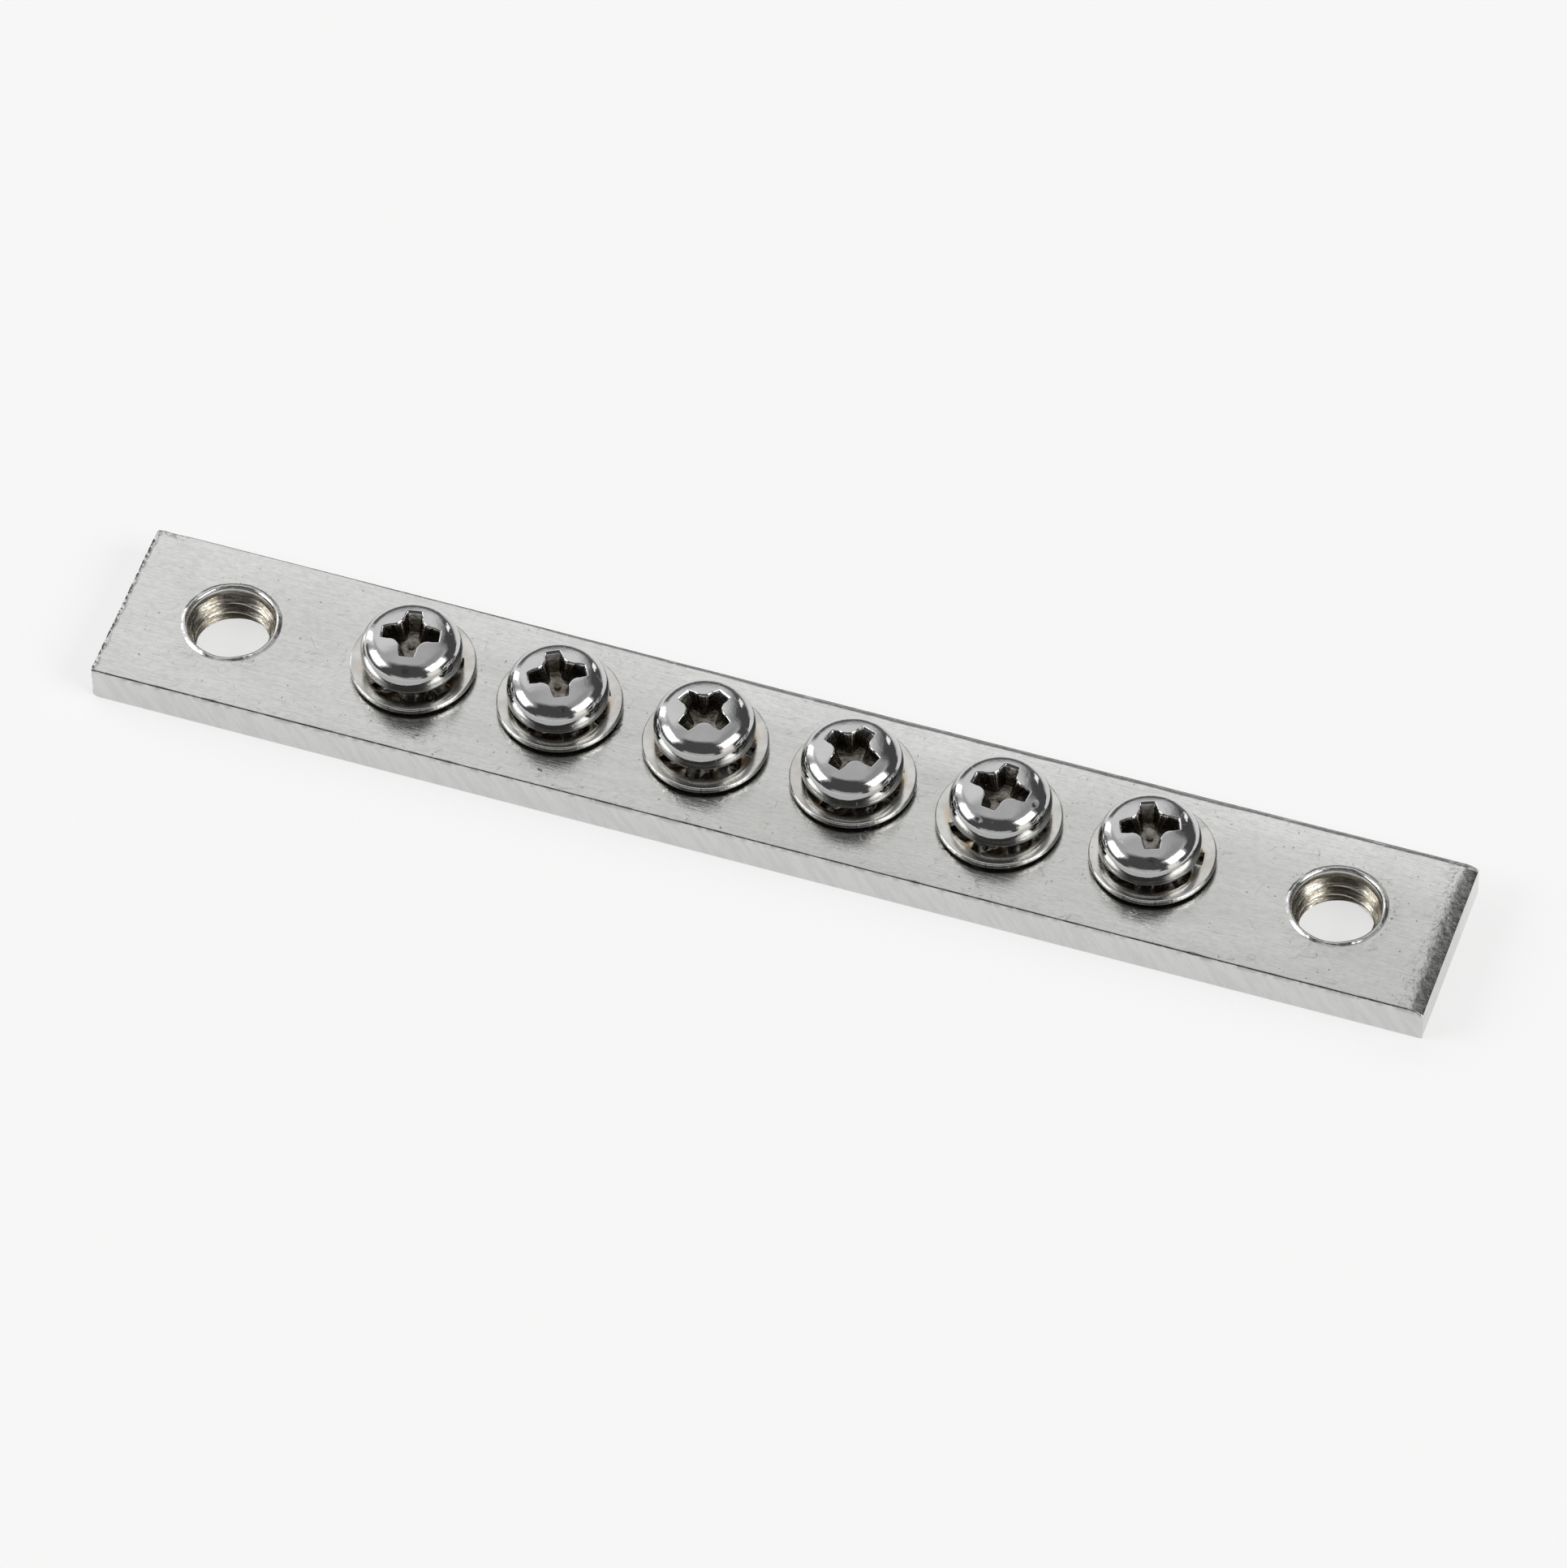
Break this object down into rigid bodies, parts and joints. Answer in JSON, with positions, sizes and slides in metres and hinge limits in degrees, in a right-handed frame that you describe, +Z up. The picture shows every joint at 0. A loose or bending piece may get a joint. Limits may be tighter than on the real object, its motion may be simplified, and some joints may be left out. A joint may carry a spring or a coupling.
{
  "type": "busbar terminal block",
  "caption": "Flat plated terminal bar with a row of pan head clamp screws on toothed lock washers and a tapped mounting hole near each end.",
  "frame": {"origin": "middle of the bar on its flat underside", "axes": "+X along the bar, +Y across it to the back edge, +Z up through the screws"},
  "size_m": [0.095, 0.0132, 0.0068],
  "materials": {
    "plated_bar": "satin nickel plate, brushed along the bar",
    "polished_screw": "polished nickel plate on steel",
    "washer_steel": "bright plated spring steel"
  },
  "bodies": {
    "bar": {"busbar": "plated_bar"},
    "washer_1": {"lock_washer_1": "washer_steel"},
    "screw_1": {"terminal_screw_1": "polished_screw"},
    "washer_2": {"lock_washer_2": "washer_steel"},
    "screw_2": {"terminal_screw_2": "polished_screw"},
    "washer_3": {"lock_washer_3": "washer_steel"},
    "screw_3": {"terminal_screw_3": "polished_screw"},
    "washer_4": {"lock_washer_4": "washer_steel"},
    "screw_4": {"terminal_screw_4": "polished_screw"},
    "washer_5": {"lock_washer_5": "washer_steel"},
    "screw_5": {"terminal_screw_5": "polished_screw"},
    "washer_6": {"lock_washer_6": "washer_steel"},
    "screw_6": {"terminal_screw_6": "polished_screw"}
  },
  "joints": [
    {"name": "screw_1_lift", "type": "slide", "parent": "bar", "child": "washer_1", "axis": [0, 0, 1], "range_m": [0, 0.0014]},
    {"name": "screw_1_turn", "type": "hinge", "parent": "washer_1", "child": "screw_1", "pos_m": [-0.02655, 0.0003, 0.00429], "axis": [0, 0, 1], "range_deg": [0, 720]},
    {"name": "screw_2_lift", "type": "slide", "parent": "bar", "child": "washer_2", "axis": [0, 0, 1], "range_m": [0, 0.0014]},
    {"name": "screw_2_turn", "type": "hinge", "parent": "washer_2", "child": "screw_2", "pos_m": [-0.016, 0.0003, 0.004], "axis": [0, 0, 1], "range_deg": [0, 720]},
    {"name": "screw_3_lift", "type": "slide", "parent": "bar", "child": "washer_3", "axis": [0, 0, 1], "range_m": [0, 0.0014]},
    {"name": "screw_3_turn", "type": "hinge", "parent": "washer_3", "child": "screw_3", "pos_m": [-0.00545, 0.0003, 0.00417], "axis": [0, 0, 1], "range_deg": [0, 720]},
    {"name": "screw_4_lift", "type": "slide", "parent": "bar", "child": "washer_4", "axis": [0, 0, 1], "range_m": [0, 0.0014]},
    {"name": "screw_4_turn", "type": "hinge", "parent": "washer_4", "child": "screw_4", "pos_m": [0.0051, 0.0003, 0.00413], "axis": [0, 0, 1], "range_deg": [0, 720]},
    {"name": "screw_5_lift", "type": "slide", "parent": "bar", "child": "washer_5", "axis": [0, 0, 1], "range_m": [0, 0.0014]},
    {"name": "screw_5_turn", "type": "hinge", "parent": "washer_5", "child": "screw_5", "pos_m": [0.01565, 0.0003, 0.00407], "axis": [0, 0, 1], "range_deg": [0, 720]},
    {"name": "screw_6_lift", "type": "slide", "parent": "bar", "child": "washer_6", "axis": [0, 0, 1], "range_m": [0, 0.0014]},
    {"name": "screw_6_turn", "type": "hinge", "parent": "washer_6", "child": "screw_6", "pos_m": [0.0262, 0.0003, 0.00403], "axis": [0, 0, 1], "range_deg": [0, 720]}
  ],
  "couplings": [
    {"joint": "screw_1_turn", "follows": "screw_1_lift", "rad_per_m": 8976},
    {"joint": "screw_2_turn", "follows": "screw_2_lift", "rad_per_m": 8976},
    {"joint": "screw_3_turn", "follows": "screw_3_lift", "rad_per_m": 8976},
    {"joint": "screw_4_turn", "follows": "screw_4_lift", "rad_per_m": 8976},
    {"joint": "screw_5_turn", "follows": "screw_5_lift", "rad_per_m": 8976},
    {"joint": "screw_6_turn", "follows": "screw_6_lift", "rad_per_m": 8976}
  ]
}
